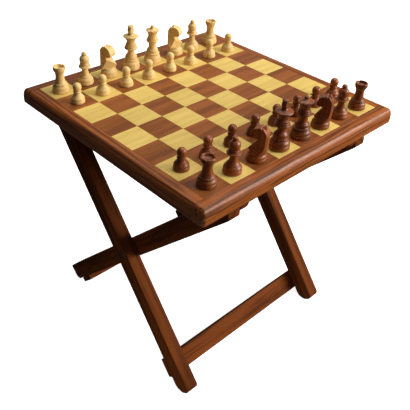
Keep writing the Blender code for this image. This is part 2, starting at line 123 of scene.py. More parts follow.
class Nodes:
    """Short names for building a node tree."""

    def __init__(self, name):
        self.material = bpy.data.materials.new(name)
        self.material.use_nodes = True
        self.tree = self.material.node_tree
        self.shader = self.tree.nodes["Principled BSDF"]

    def put(self, target, value):
        if hasattr(value, "is_output"):
            self.tree.links.new(value, target)
        else:
            target.default_value = value

    def math(self, operation, *values):
        node = self.tree.nodes.new("ShaderNodeMath")
        node.operation = operation
        for socket, value in zip(node.inputs, values):
            self.put(socket, value)
        return node.outputs[0]

    def vector(self, operation, *values):
        node = self.tree.nodes.new("ShaderNodeVectorMath")
        node.operation = operation
        for socket, value in zip(node.inputs, values):
            self.put(socket, value)
        return node.outputs["Value" if operation == "LENGTH" else "Vector"]

    def noise(self, place, scale, detail=2.0, roughness=0.5):
        """Noise stretched by scale, which gives cycles per millimetre along each axis."""
        node = self.tree.nodes.new("ShaderNodeTexNoise")
        node.inputs["Scale"].default_value = 1.0
        node.inputs["Detail"].default_value = detail
        node.inputs["Roughness"].default_value = roughness
        self.put(node.inputs["Vector"], self.vector("MULTIPLY", place, scale))
        return node.outputs

    def ramp(self, value, stops):
        node = self.tree.nodes.new("ShaderNodeValToRGB")
        elements = node.color_ramp.elements
        while len(elements) < len(stops):
            elements.new(0.5)
        for element, (position, level) in zip(elements, stops):
            element.position = position
            element.color = level if isinstance(level, tuple) else (level, level, level, 1)
        self.put(node.inputs[0], value)
        return node.outputs[0]

    def mix(self, share, first, second, blend="MIX"):
        node = self.tree.nodes.new("ShaderNodeMix")
        node.data_type = "RGBA"
        node.blend_type = blend
        self.put(node.inputs[0], share)
        self.put(node.inputs[6], first)
        self.put(node.inputs[7], second)
        return node.outputs[2]

    def attribute(self, name, output):
        node = self.tree.nodes.new("ShaderNodeAttribute")
        node.attribute_name = name
        return node.outputs[output]


def srgb(red, green, blue):
    """A colour given as 0 to 255 display values, as linear."""
    levels = [((c / 255 + 0.055) / 1.055) ** 2.4 if c > 10 else c / 255 / 12.92 for c in (red, green, blue)]
    return (*levels, 1.0)


def wood(name, pale, main, dark, ring=0.30, ring_depth=0.5, streak=0.10, streak_depth=0.5, warp=3.0,
         pores=0.45, roughness=0.36, coat=0.25, coat_roughness=0.22, place=None, tint=0.12, specular=0.5):
    """Wood with growth rings, dark streaks, fibres and pores. ring and streak are lines per millimetre."""
    n = Nodes(name)
    grain = place(n) if place else n.attribute("grain", "Vector")
    shift = n.vector("SUBTRACT", n.noise(grain, (0.009, 0.030, 0.030))["Color"], (0.5, 0.5, 0.5))
    bent = n.vector("ADD", grain, n.vector("MULTIPLY", shift, (0.0, warp * 4, warp * 4)))
    radius = n.vector("LENGTH", n.vector("MULTIPLY", bent, (0.055, 1.0, 1.0)))
    wobble = n.noise(bent, (0.012, 0.22, 0.22), 3.0)["Fac"]
    phase = n.math("MULTIPLY_ADD", radius, ring, n.math("MULTIPLY", wobble, 1.6))
    year = n.ramp(n.math("FRACT", phase), [(0.0, 0.10), (0.55, 0.28), (0.90, 1.0), (0.97, 0.55), (1.0, 0.10)])
    vigour = n.noise(bent, (0.003, 0.10, 0.10), 1.0)["Fac"]
    year = n.math("MULTIPLY", year, n.ramp(vigour, [(0.30, 0.25), (0.65, 1.0)]))
    band = n.noise(bent, (0.0035, streak, streak), 3.0, 0.55)["Fac"]
    band = n.ramp(band, [(0.44, 0.0), (0.62, 1.0)])
    fibre = n.noise(grain, (0.030, 1.5, 1.5), 2.0)["Fac"]
    pore = n.ramp(n.noise(grain, (0.085, 2.6, 2.6), 1.0)["Fac"], [(0.60, 0.0), (0.72, 1.0)])
    colour = n.mix(n.math("MULTIPLY", year, ring_depth), pale, main)
    colour = n.mix(n.math("MULTIPLY", band, streak_depth), colour, dark)
    shade = n.ramp(fibre, [(0.25, 0.86), (0.75, 1.10)])
    colour = n.mix(1.0, colour, shade, "MULTIPLY")
    colour = n.mix(n.math("MULTIPLY", pore, pores), colour, dark)
    lift = n.math("MULTIPLY_ADD", n.attribute("tint", "Fac"), tint, 1.0)
    colour = n.mix(1.0, colour, lift, "MULTIPLY")
    n.put(n.shader.inputs["Base Color"], colour)
    matt = n.math("MULTIPLY_ADD", fibre, 0.10, roughness - 0.05)
    matt = n.math("MULTIPLY_ADD", pore, 0.12, matt)
    n.put(n.shader.inputs["Roughness"], matt)
    n.shader.inputs["Coat Weight"].default_value = coat
    n.shader.inputs["Coat Roughness"].default_value = coat_roughness
    n.shader.inputs["Specular IOR Level"].default_value = specular
    height = n.math("SUBTRACT", n.math("MULTIPLY", fibre, 0.35), pore)
    bump = n.tree.nodes.new("ShaderNodeBump")
    bump.inputs["Strength"].default_value = 0.35
    bump.inputs["Distance"].default_value = 0.00012
    n.put(bump.inputs["Height"], height)
    n.put(n.shader.inputs["Normal"], bump.outputs[0])
    return n.material


def metal(name, colour, roughness):
    """Turned steel with fine marks."""
    n = Nodes(name)
    node = n.tree.nodes.new("ShaderNodeTexCoord")
    place = n.vector("MULTIPLY", node.outputs["Object"], (1000.0, 1000.0, 1000.0))
    marks = n.noise(place, (0.8, 0.8, 0.8), 4.0)["Fac"]
    stain = n.noise(place, (0.12, 0.12, 0.12), 2.0)["Fac"]
    worn = n.mix(n.ramp(stain, [(0.4, 0.0), (0.7, 0.6)]), colour,
                 tuple(c * 0.45 for c in colour[:3]) + (1.0,))
    n.put(n.shader.inputs["Base Color"], worn)
    n.put(n.shader.inputs["Roughness"], n.math("MULTIPLY_ADD", marks, 0.25, roughness - 0.1))
    n.shader.inputs["Metallic"].default_value = 1.0
    return n.material


def row_frame_grain(along):
    """Grain that runs along X or Y for a CAD node, whose own place is in its mesh."""

    def place(n):
        node = n.tree.nodes.new("ShaderNodeTexCoord")
        turn = n.tree.nodes.new("ShaderNodeMapping")
        turn.inputs["Rotation"].default_value = (0, 0, 0 if along == "x" else math.pi / 2)
        turn.inputs["Location"].default_value = (40.0, 35.0, 22.0)
        turn.inputs["Scale"].default_value = (1000.0, 1000.0, 1000.0)
        n.put(turn.inputs["Vector"], node.outputs["Object"])
        return turn.outputs[0]

    return place


LOOKS = {
    "rail": wood("rail_wood", srgb(176, 97, 37), srgb(134, 66, 22), srgb(52, 22, 8), ring=0.46,
                 ring_depth=0.85, streak=0.27, streak_depth=0.75, warp=2.0, roughness=0.42, coat=0.0,
                 specular=0.36),
    "leg": wood("leg_wood", srgb(122, 62, 22), srgb(92, 43, 14), srgb(54, 24, 10), ring=0.30, ring_depth=0.7,
                streak=0.10, streak_depth=0.6, warp=2.6, roughness=0.68, coat=0.0, specular=0.06),
    "dark_square": wood("dark_square_wood", srgb(158, 92, 42), srgb(126, 67, 27), srgb(80, 40, 16), ring=0.26,
                        ring_depth=0.6, streak=0.07, streak_depth=0.45, warp=3.2, pores=0.30, roughness=0.40,
                        coat=0.03, specular=0.22),
    "light_square": wood("light_square_wood", srgb(234, 203, 114), srgb(224, 189, 100), srgb(202, 160, 80),
                         ring=0.22, ring_depth=0.6, streak=0.10, streak_depth=0.30, warp=2.4, pores=0.12,
                         roughness=0.40, tint=0.05, coat=0.03, specular=0.22),
    "dark_piece": wood("dark_piece_wood", srgb(160, 84, 33), srgb(112, 52, 19), srgb(50, 21, 8), ring=0.42,
                       ring_depth=0.75, streak=0.16, streak_depth=0.5, warp=1.0, roughness=0.40, coat=0.10,
                       specular=0.45),
    "light_piece": wood("light_piece_wood", srgb(238, 204, 138), srgb(226, 187, 112), srgb(206, 162, 90),
                        ring=0.45, ring_depth=0.6, streak=0.16, streak_depth=0.3, warp=1.0, pores=0.12,
                        roughness=0.45, coat=0.05, tint=0.05, specular=0.25),
    "core": wood("core_wood", srgb(150, 96, 58), srgb(120, 72, 40), srgb(80, 44, 24), ring=0.22,
                 ring_depth=0.6, streak=0.06, streak_depth=0.5, place=row_frame_grain("x"),
                 roughness=0.5, coat=0.0),
    "steel": metal("dark_steel", (0.10, 0.09, 0.08, 1.0), 0.42),
}


# ---------------------------------------------------------------- building

def set_attribute(mesh, name, kind, key, values):
    layer = mesh.attributes.new(name, kind, "POINT")
    layer.data.foreach_set(key, np.ascontiguousarray(values, np.float32).ravel())


def points_of(mesh):
    places = np.zeros(len(mesh.vertices) * 3, np.float32)
    mesh.vertices.foreach_get("co", places)
    return places.reshape(-1, 3).astype(float)


def add_grain(mesh, along, across, centre, pith=(70.0, 25.0), shift=0.0):
    """Grain coordinates in millimetres: X along the grain, and the pith pith millimetres off the centre."""
    x_axis = np.array(Vector(along).normalized())
    y_axis = np.array(Vector(across).normalized())
    z_axis = np.cross(x_axis, y_axis)
    local = (points_of(mesh) - np.array(centre)) / MM
    coords = np.stack([local @ x_axis + shift, local @ y_axis + pith[0], local @ z_axis + pith[1]], 1)
    set_attribute(mesh, "grain", "FLOAT_VECTOR", "vector", coords)


def piece(name, mesh, body, look, nodes=(), smooth_angle=None):
    """Puts a finished mesh in the scene, in place of CAD nodes if it stands for any."""
    mesh.materials.clear()
    mesh.materials.append(LOOKS[look])
    if smooth_angle:
        mesh.shade_smooth()
        mesh.set_sharp_from_angle(angle=math.radians(smooth_angle))
    obj = bpy.data.objects.new(name, mesh)
    scene.collection.objects.link(obj)
    if nodes:
        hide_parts(*nodes)
    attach(obj, body)
    return obj


def mesh_from(builder, name):
    bmesh.ops.recalc_face_normals(builder, faces=builder.faces)
    mesh = bpy.data.meshes.new(name)
    builder.to_mesh(mesh)
    builder.free()
    return mesh


def ease(builder, width, turn=30.0, segments=2):
    """Rounds every crisp edge of a solid."""
    sharp = [e for e in builder.edges if len(e.link_faces) == 2 and e.calc_face_angle(0) > math.radians(turn)]
    bmesh.ops.bevel(builder, geom=sharp, offset=width, segments=segments, affect="EDGES", profile=0.6,
                    clamp_overlap=True)


def slice_away(builder, point, outward):
    parts = builder.verts[:] + builder.edges[:] + builder.faces[:]
    bmesh.ops.bisect_plane(builder, geom=parts, dist=1e-6, plane_co=point, plane_no=outward, clear_outer=True)
    rim = [edge for edge in builder.edges if edge.is_boundary]
    bmesh.ops.edgenet_fill(builder, edges=rim)


def fillet(corners, steps=8):
    """Rounds a closed polygon. Each corner is (a, b, radius)."""
    outline = []
    for index, (a, b, radius) in enumerate(corners):
        here = Vector((a, b))
        if radius <= 0:
            outline.append((a, b))
            continue
        before = Vector(corners[index - 1][:2])
        after = Vector(corners[(index + 1) % len(corners)][:2])
        to_before = (before - here).normalized()
        to_after = (after - here).normalized()
        half_angle = to_before.angle(to_after) / 2
        centre = here + (to_before + to_after).normalized() * (radius / math.sin(half_angle))
        tangent = radius / math.tan(half_angle)
        start = here + to_before * tangent - centre
        turn = start.angle_signed(here + to_after * tangent - centre)
        for step in range(steps + 1):
            angle = -turn * step / steps
            outline.append((centre.x + start.x * math.cos(angle) - start.y * math.sin(angle),
                            centre.y + start.x * math.sin(angle) + start.y * math.cos(angle)))
    return outline


def prism(outline, low_x, high_x):
    """Extrudes an outline of (y, z) along X."""
    builder = bmesh.new()
    near = [builder.verts.new((low_x, y, z)) for y, z in outline]
    far = [builder.verts.new((high_x, y, z)) for y, z in outline]
    builder.faces.new(near)
    builder.faces.new(list(reversed(far)))
    for index in range(len(outline)):
        follower = (index + 1) % len(outline)
        builder.faces.new((near[index], far[index], far[follower], near[follower]))
    bmesh.ops.recalc_face_normals(builder, faces=builder.faces)
    return builder


# ---------------------------------------------------------------- table top

TOP_LOW, TOP_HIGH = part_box("border_rail_dark_side")[0].z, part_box("border_rail_dark_side")[1].z
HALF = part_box("border_rail_dark_side")[1].x
FIELD_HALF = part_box("chessboard_veneer")[1].x
SQUARE = FIELD_HALF / 4
UPPER_EDGE_WIDTH = 0.008
UPPER_EDGE_DEPTH = 0.015
LOWER_EDGE_RADIUS = 0.0025
CORNER_RADIUS = 0.006
SEAM = 0.00012


def quarter_oval(width, depth, steps):
    """Points of (inset, drop) from the outer face round to the flat face."""
    angles = [math.pi / 2 * step / steps for step in range(steps + 1)]
    return [(width * (1 - math.cos(a)), depth * (1 - math.sin(a))) for a in angles]


def rounded_slab():
    """The whole table top as a stack of rings: deep rounding above, small one below, eased corners."""
    lower_edge = quarter_oval(LOWER_EDGE_RADIUS, LOWER_EDGE_RADIUS, 5)
    upper_edge = quarter_oval(UPPER_EDGE_WIDTH, UPPER_EDGE_DEPTH, 18)
    levels = [(inset, TOP_LOW + drop) for inset, drop in reversed(lower_edge)]
    levels += [(inset, TOP_HIGH - drop) for inset, drop in upper_edge]
    builder = bmesh.new()
    rings = []
    centre = HALF - CORNER_RADIUS
    steps = 8
    for inset, height in levels:
        shrink = max(inset - CORNER_RADIUS, 0)
        radius = max(CORNER_RADIUS - inset, CORNER_RADIUS * 0.02)
        ring = []
        for quarter, (side_x, side_y) in enumerate(((1, 1), (-1, 1), (-1, -1), (1, -1))):
            for step in range(steps + 1):
                angle = math.pi / 2 * (quarter + step / steps)
                ring.append(builder.verts.new((side_x * (centre - shrink) + radius * math.cos(angle),
                                               side_y * (centre - shrink) + radius * math.sin(angle),
                                               height)))
        rings.append(ring)
    for lower, upper in zip(rings, rings[1:]):
        for index in range(len(lower)):
            follower = (index + 1) % len(lower)
            builder.faces.new((lower[index], lower[follower], upper[follower], upper[index]))
    builder.faces.new(list(reversed(rings[0])))
    builder.faces.new(rings[-1])
    return builder


def build_rails():
    inner = FIELD_HALF
    for name, side, pith in (("border_rail_dark_side", -1, (26, 16)),
                             ("border_rail_light_side", 1, (60, 20))):
        rail = rounded_slab()
        slice_away(rail, (0, side * (inner + SEAM), 0), (0, -side, 0))
        mesh = mesh_from(rail, name)
        add_grain(mesh, (1, 0, 0), (0, 1, 0), (0, side * 0.214, TOP_HIGH), pith, 30 * side)
        piece(f"vis_{name}", mesh, "table_top", "rail", [name], 25)
    for name, side, pith in (("border_rail_left", -1, (75, 30)), ("border_rail_right", 1, (55, 40))):
        rail = rounded_slab()
        slice_away(rail, (side * (inner + SEAM), 0, 0), (-side, 0, 0))
        slice_away(rail, (0, -inner + SEAM, 0), (0, -1, 0))
        slice_away(rail, (0, inner - SEAM, 0), (0, 1, 0))
        mesh = mesh_from(rail, name)
        add_grain(mesh, (0, 1, 0), (1, 0, 0), (side * 0.214, 0, TOP_HIGH), pith, 90 * side)
        piece(f"vis_{name}", mesh, "table_top", "rail", [name], 25)


def build_squares():
    """64 veneer squares, each cut from another part of the sheet."""
    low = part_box("chessboard_veneer")[0].z
    edge = 0.00015
    for look, parity, slot in (("dark_square", 0, "board_wood"), ("light_square", 1, "light_wood")):
        verts, faces, coords, tints = [], [], [], []
        for column in range(8):
            for row in range(8):
                if (column + row) % 2 != parity:
                    continue
                x0, y0 = (column - 4) * SQUARE, (row - 4) * SQUARE
                start = len(verts)
                for inset, height in ((SEAM / 2, low), (SEAM / 2, TOP_HIGH - edge),
                                      (SEAM / 2 + edge, TOP_HIGH)):
                    verts += [(x0 + inset, y0 + inset, height), (x0 + SQUARE - inset, y0 + inset, height),
                              (x0 + SQUARE - inset, y0 + SQUARE - inset, height),
                              (x0 + inset, y0 + SQUARE - inset, height)]
                for level in (0, 4):
                    for index in range(4):
                        follower = (index + 1) % 4
                        faces.append((start + level + index, start + level + follower,
                                      start + level + 4 + follower, start + level + 4 + index))
                faces.append((start + 8, start + 9, start + 10, start + 11))
                faces.append((start + 3, start + 2, start + 1, start))
                pith = (RNG.uniform(15, 90) * RNG.choice((-1, 1)), RNG.uniform(8, 45))
                shift = RNG.uniform(-400, 400)
                tilt = RNG.normal(0, 0.04)
                tint = RNG.uniform(-1, 1)
                for x, y, z in verts[start:]:
                    u, v = (x - x0 - SQUARE / 2) / MM, (y - y0 - SQUARE / 2) / MM
                    coords.append((u * math.cos(tilt) - v * math.sin(tilt) + shift,
                                   u * math.sin(tilt) + v * math.cos(tilt) + pith[0],
                                   (z - TOP_HIGH) / MM + pith[1]))
                    tints.append(tint)
        mesh = bpy.data.meshes.new(f"{look}s")
        mesh.from_pydata(verts, [], faces)
        set_attribute(mesh, "grain", "FLOAT_VECTOR", "vector", coords)
        set_attribute(mesh, "tint", "FLOAT", "value", tints)
        piece(f"vis_{look}s", mesh, "table_top", look, ["chessboard_veneer"])


# ---------------------------------------------------------------- legs, stretchers, battens

LEG_WIDTH = 0.0336
PIVOT = Vector((0, 0, 0.216))
OUTER_ANGLE = math.radians(50.7)
INNER_ANGLE = math.radians(45.7)
OUTER_FOOT_REACH = 0.2755
INNER_FOOT_REACH = 0.2931
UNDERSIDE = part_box("playing_board_core")[0].z
HINGE_DROP = LEG_WIDTH / 2 + 0.0005
HINGE_REACH = (UNDERSIDE - HINGE_DROP - PIVOT.z) / math.sin(INNER_ANGLE)
SLIDING_REACH = (UNDERSIDE - HINGE_DROP - PIVOT.z) / math.sin(OUTER_ANGLE)


def smooth_line(points, step, closed=False):
    """A smooth curve through the points, with a point about every step. A point given twice is a corner."""
    if closed:
        points = points + points[:1]
    runs, run = [], [points[0]]
    for here in points[1:]:
        if here == run[-1]:
            runs.append(run)
            run = [here]
        else:
            run.append(here)
    runs.append(run)
    out = []
    for run in runs:
        if len(run) < 2:
            continue
        knots = [np.array(p, float) for p in run]
        if len(knots) > 2:
            knots = [2 * knots[0] - knots[1]] + knots + [2 * knots[-1] - knots[-2]]
        else:
            knots = [2 * knots[0] - knots[1]] + knots + [2 * knots[1] - knots[0]]
        for a, b, c, d in zip(knots, knots[1:], knots[2:], knots[3:]):
            t1 = np.linalg.norm(b - a) ** 0.5 + 1e-9
            t2 = t1 + np.linalg.norm(c - b) ** 0.5 + 1e-9
            t3 = t2 + np.linalg.norm(d - c) ** 0.5 + 1e-9
            count = max(1, int(round(np.linalg.norm(c - b) / step))) if len(run) > 2 else 1
            for index in range(count):
                t = t1 + (t2 - t1) * index / count
                ab = a * (t1 - t) / t1 + b * t / t1
                bc = b * (t2 - t) / (t2 - t1) + c * (t - t1) / (t2 - t1)
                cd = c * (t3 - t) / (t3 - t2) + d * (t - t2) / (t3 - t2)
                abc = ab * (t2 - t) / t2 + bc * t / t2
                bcd = bc * (t3 - t) / (t3 - t1) + cd * (t - t1) / (t3 - t1)
                out.append(tuple(abc * (t2 - t) / (t2 - t1) + bcd * (t - t1) / (t2 - t1)))
        if not closed:
            out.append(tuple(knots[-2]))
    kept = [out[0]]
    for here in out[1:]:
        if math.dist(here, kept[-1]) > 1e-6:
            kept.append(here)
    return kept


def rod(radius, low_x, high_x, y, z, steps=36):
    """A round bar along X."""
    builder = bmesh.new()
    rings = []
    for x in (low_x, high_x):
        rings.append([builder.verts.new((x, y + radius * math.cos(2 * math.pi * i / steps),
                                         z + radius * math.sin(2 * math.pi * i / steps)))
                      for i in range(steps)])
    for index in range(steps):
        follower = (index + 1) % steps
        builder.faces.new((rings[0][index], rings[1][index], rings[1][follower], rings[0][follower]))
    builder.faces.new(rings[0])
    builder.faces.new(list(reversed(rings[1])))
    return builder


def carved(builder, tools):
    """The solid with each tool cut out of it."""
    base = bpy.data.objects.new("blank", mesh_from(builder, "blank"))
    scene.collection.objects.link(base)
    temporary = [base]
    for tool in tools:
        cutter = bpy.data.objects.new("tool", mesh_from(tool, "tool"))
        scene.collection.objects.link(cutter)
        temporary.append(cutter)
        modifier = base.modifiers.new("cut", "BOOLEAN")
        modifier.operation = "DIFFERENCE"
        modifier.solver = "EXACT"
        modifier.object = cutter
    graph = bpy.context.evaluated_depsgraph_get()
    result = bmesh.new()
    result.from_mesh(base.evaluated_get(graph).to_mesh())
    for obj in temporary:
        mesh = obj.data
        bpy.data.objects.remove(obj)
        bpy.data.meshes.remove(mesh)
    bmesh.ops.remove_doubles(result, verts=result.verts, dist=1e-6)
    bmesh.ops.dissolve_limit(result, angle_limit=math.radians(1), verts=result.verts, edges=result.edges)
    return result


OUTER_HALF_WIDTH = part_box("outer_leg_right")[1].x
INNER_HALF_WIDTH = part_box("inner_leg_right")[1].x
LEG_THICKNESS = 0.024
OUTER_TOE_RADIUS = 0.010
OUTER_HEEL_RADIUS = 0.018
INNER_TOE_RADIUS = 0.004
INNER_HEEL_RADIUS = 0.012
INNER_TOP_RADIUS = 0.004
OUTLINE_STEPS = 12
HINGE = Vector((0, -HINGE_REACH * math.cos(INNER_ANGLE), UNDERSIDE - HINGE_DROP))
POCKET_RADIUS = 0.0076
POCKET_DEPTH = 0.0036
NUT_POCKET_RADIUS = 0.0068
NUT_POCKET_DEPTH = 0.0046
CUT_OVERRUN = 0.002
STRETCHER_REACH = {"outer": 0.2455, "inner": 0.268}
STRETCHER_WIDTH = 0.036
STRETCHER_THICKNESS = 0.010
STRETCHER_GAP = 0.0003


def outer_leg_outline():
    half = LEG_WIDTH / 2
    end = SLIDING_REACH + half
    return fillet([(-OUTER_FOOT_REACH, -half, OUTER_TOE_RADIUS), (-OUTER_FOOT_REACH, half, OUTER_HEEL_RADIUS),
                   (end, half, half * 0.999), (end, -half, half * 0.999)], OUTLINE_STEPS)


def inner_leg_outline():
    half = LEG_WIDTH / 2
    lean = math.sin(INNER_ANGLE)
    high = HINGE_REACH + half * (1 + lean) / math.cos(INNER_ANGLE)
    low = HINGE_REACH + half * (1 - lean) / math.cos(INNER_ANGLE)
    return fillet([(-INNER_FOOT_REACH, -half, INNER_TOE_RADIUS), (-INNER_FOOT_REACH, half, INNER_HEEL_RADIUS),
                   (low, half, INNER_TOP_RADIUS), (high, -half, half)], OUTLINE_STEPS)


def placed(kind, outline):
    """An outline of (reach up the leg, depth towards its under side) as (y, z)."""
    out = []
    for reach, depth in outline:
        if kind == "outer":
            out.append((reach * math.cos(OUTER_ANGLE) + depth * math.sin(OUTER_ANGLE),
                        PIVOT.z + reach * math.sin(OUTER_ANGLE) - depth * math.cos(OUTER_ANGLE)))
        else:
            out.append((-reach * math.cos(INNER_ANGLE) - depth * math.sin(INNER_ANGLE),
                        PIVOT.z + reach * math.sin(INNER_ANGLE) - depth * math.cos(INNER_ANGLE)))
    return out


def leg_direction(kind):
    if kind == "outer":
        return (0, math.cos(OUTER_ANGLE), math.sin(OUTER_ANGLE))
    return (0, -math.cos(INNER_ANGLE), math.sin(INNER_ANGLE))


def build_legs():
    for label, side in (("left", -1), ("right", 1)):
        for kind, half_width, outline in (("outer", OUTER_HALF_WIDTH, outer_leg_outline()),
                                          ("inner", INNER_HALF_WIDTH, inner_leg_outline())):
            outer, inner = side * half_width, side * (half_width - LEG_THICKNESS)
            leg = prism(placed(kind, outline), min(outer, inner), max(outer, inner))
            slice_away(leg, (0, 0, 0), (0, 0, -1))
            if kind == "outer":
                tools = [rod(POCKET_RADIUS, outer - side * POCKET_DEPTH, outer + side * CUT_OVERRUN,
                             PIVOT.y, PIVOT.z)]
            else:
                tools = [rod(POCKET_RADIUS, outer - side * POCKET_DEPTH, outer + side * CUT_OVERRUN,
                             HINGE.y, HINGE.z),
                         rod(NUT_POCKET_RADIUS, inner - side * CUT_OVERRUN, inner + side * NUT_POCKET_DEPTH,
                             PIVOT.y, PIVOT.z)]
            leg = carved(leg, tools)
            ease(leg, 0.0009)
            mesh = mesh_from(leg, f"{kind}_leg_{label}")
            along = leg_direction(kind)
            pith = {"outer": (58 + 12 * side, 26), "inner": (40 - 9 * side, 36)}[kind]
            add_grain(mesh, along, (1, 0, 0), (side * half_width, PIVOT.y, PIVOT.z), pith, 170 * side)
            piece(f"vis_{kind}_leg_{label}", mesh, f"{kind}_frame", "leg", [f"{kind}_leg_{label}"],
                  30)


def build_stretchers():
    back = LEG_WIDTH / 2 + STRETCHER_GAP
    front = back + STRETCHER_THICKNESS
    for kind, half_width in (("outer", OUTER_HALF_WIDTH), ("inner", INNER_HALF_WIDTH)):
        reach = STRETCHER_REACH[kind]
        top = STRETCHER_WIDTH - reach
        strip = [(-reach, back), (top, back), (top, front), (-reach, front)]
        bar = prism(placed(kind, strip), -half_width, half_width)
        ease(bar, 0.0008)
        mesh = mesh_from(bar, f"{kind}_stretcher")
        centre = placed(kind, [(STRETCHER_WIDTH / 2 - reach, back)])[0]
        add_grain(mesh, (1, 0, 0), leg_direction(kind), (0, *centre),
                  (52, 18) if kind == "outer" else (33, 40))
        piece(f"vis_{kind}_stretcher", mesh, f"{kind}_frame", "leg", [f"{kind}_stretcher"], 30)
        build_stretcher_screws(kind, half_width, reach, front)


def build_stretcher_screws(kind, half_width, reach, face):
    """Two countersunk screws fix each end of a stretcher to its leg."""
    (y0, z0), (y1, z1) = placed(kind, [(0, 0), (0, 1)])
    outward = Vector((0, y1 - y0, z1 - z0))
    builder = bmesh.new()
    for side in (-1, 1):
        for step in (0.009, 0.027):
            y, z = placed(kind, [(-reach + step, face)])[0]
            x = side * (half_width - LEG_THICKNESS / 2)
            add_screw_head(builder, Vector((x, y, z)), outward, 0.0034)
    mesh = mesh_from(builder, f"{kind}_stretcher_screws")
    piece(f"vis_{kind}_stretcher_screws", mesh, f"{kind}_frame", "steel", (), 30)


def add_screw_head(builder, centre, outward, radius):
    """A flat screw head with a cross recess, set level with the surface."""
    outward = outward.normalized()
    first = outward.orthogonal().normalized()
    second = outward.cross(first)
    steps = 24
    rings = []
    for share, height in ((1.0, -0.0006), (1.0, 0.00005), (0.9, 0.00022), (0.62, 0.00026)):
        ring = []
        for index in range(steps):
            angle = 2 * math.pi * index / steps
            spoke = first * math.cos(angle) + second * math.sin(angle)
            ring.append(builder.verts.new(centre + spoke * radius * share + outward * height))
        rings.append(ring)
    cross = []
    for index in range(steps):
        angle = 2 * math.pi * index / steps
        arm = abs(math.cos(2 * angle)) ** 3
        spoke = first * math.cos(angle) + second * math.sin(angle)
        cross.append(builder.verts.new(centre + spoke * radius * (0.14 + 0.42 * arm) + outward * 0.00024))
    floor_ring = [builder.verts.new(v.co - outward * 0.0007 + (centre - v.co) * 0.25) for v in cross]
    rings += [cross, floor_ring]
    for lower, upper in zip(rings, rings[1:]):
        for index in range(steps):
            follower = (index + 1) % steps
            builder.faces.new((lower[index], lower[follower], upper[follower], upper[index]))
    builder.faces.new(rings[-1])
    builder.faces.new(list(reversed(rings[0])))


def build_battens():
    low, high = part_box("under_batten_right")
    screw_x = (low.x + high.x) / 2
    outline = fillet([(low.y, high.z, 0.0), (low.y, low.z, 0.022), (high.y, low.z, 0.022),
                      (high.y, high.z, 0.0)],
                     14)
    for label, side in (("left", -1), ("right", 1)):
        batten = prism(outline, min(side * low.x, side * high.x), max(side * low.x, side * high.x))
        inner = side * low.x
        tools = [rod(NUT_POCKET_RADIUS, inner - side * 0.002, inner + side * 0.0046, HINGE.y, HINGE.z)]
        for end in (-1, 1):
            hole = rod(0.0042, low.z - 0.005, low.z + 0.010, 0, 0, 24)
            for vertex in hole.verts:
                vertex.co = Vector((side * screw_x + vertex.co.y, end * 0.120 + vertex.co.z, vertex.co.x))
            tools.append(hole)
        batten = carved(batten, tools)
        ease(batten, 0.0008)
        mesh = mesh_from(batten, f"under_batten_{label}")
        add_grain(mesh, (0, 1, 0), (1, 0, 0), (side * screw_x, 0, low.z), (28 + 8 * side, 30), 55 * side)
        piece(f"vis_under_batten_{label}", mesh, "table_top", "leg", [f"under_batten_{label}"],
              30)


def finish_hardware():
    """The bolts, nuts, washers and screws keep their CAD shape and get a worn dark finish."""
    for name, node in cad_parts.items():
        if any(word in name for word in ("bolt", "nut", "washer", "screw")):
            node.data.materials.clear()
            node.data.materials.append(LOOKS["steel"])
    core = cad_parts["playing_board_core"]
    core.data.materials.clear()
    core.data.materials.append(LOOKS["core"])


# ---------------------------------------------------------------- turned pieces. Millimetres from the foot up.

def foot(radius, height):
    """A flat-bottomed foot with a round edge, a groove and a wide bulge above it."""
    return [(radius * 0.955, 0.0), (radius * 0.99, height * 0.05), (radius, height * 0.16),
            (radius * 0.995, height * 0.34), (radius * 0.955, height * 0.45), (radius * 0.955, height * 0.45),
            (radius * 0.935, height * 0.47), (radius * 0.955, height * 0.50), (radius * 0.955, height * 0.50),
            (radius * 0.965, height * 0.60), (radius * 0.93, height * 0.76), (radius * 0.84, height * 0.91),
            (radius * 0.75, height), (radius * 0.75, height)]


PAWN = foot(11.7, 11.0) + [
    (8.5, 11.3), (8.7, 11.8), (8.3, 12.4), (8.3, 12.4), (7.1, 13.3), (6.1, 15.0), (5.5, 17.0), (5.4, 17.6),
    (5.4, 17.6), (6.5, 17.9), (7.0, 18.7), (6.5, 19.5), (5.4, 19.8), (5.4, 19.8), (5.2, 20.2), (5.5, 21.0),
    (6.3, 22.6), (6.9, 24.5), (7.1, 26.4), (6.8, 28.5), (5.9, 30.5), (4.4, 32.2), (2.3, 33.3), (0.02, 33.6)]

ROOK = foot(14.1, 12.2) + [
    (10.5, 12.7), (11.35, 13.4), (11.5, 14.2), (11.0, 15.0), (10.0, 15.2), (10.0, 15.2), (9.0, 17.0),
    (8.0, 20.0), (7.3, 24.0), (7.0, 28.0), (7.2, 31.4), (7.9, 34.0), (9.0, 36.2), (10.0, 38.2), (10.3, 40.0),
    (10.2, 42.2), (10.25, 43.2), (10.25, 43.2), (10.3, 43.8), (9.9, 44.3), (9.9, 44.3), (8.4, 44.3),
    (8.4, 44.3), (8.0, 43.7), (7.6, 41.6), (6.4, 40.2), (4.0, 39.4), (0.02, 39.2)]

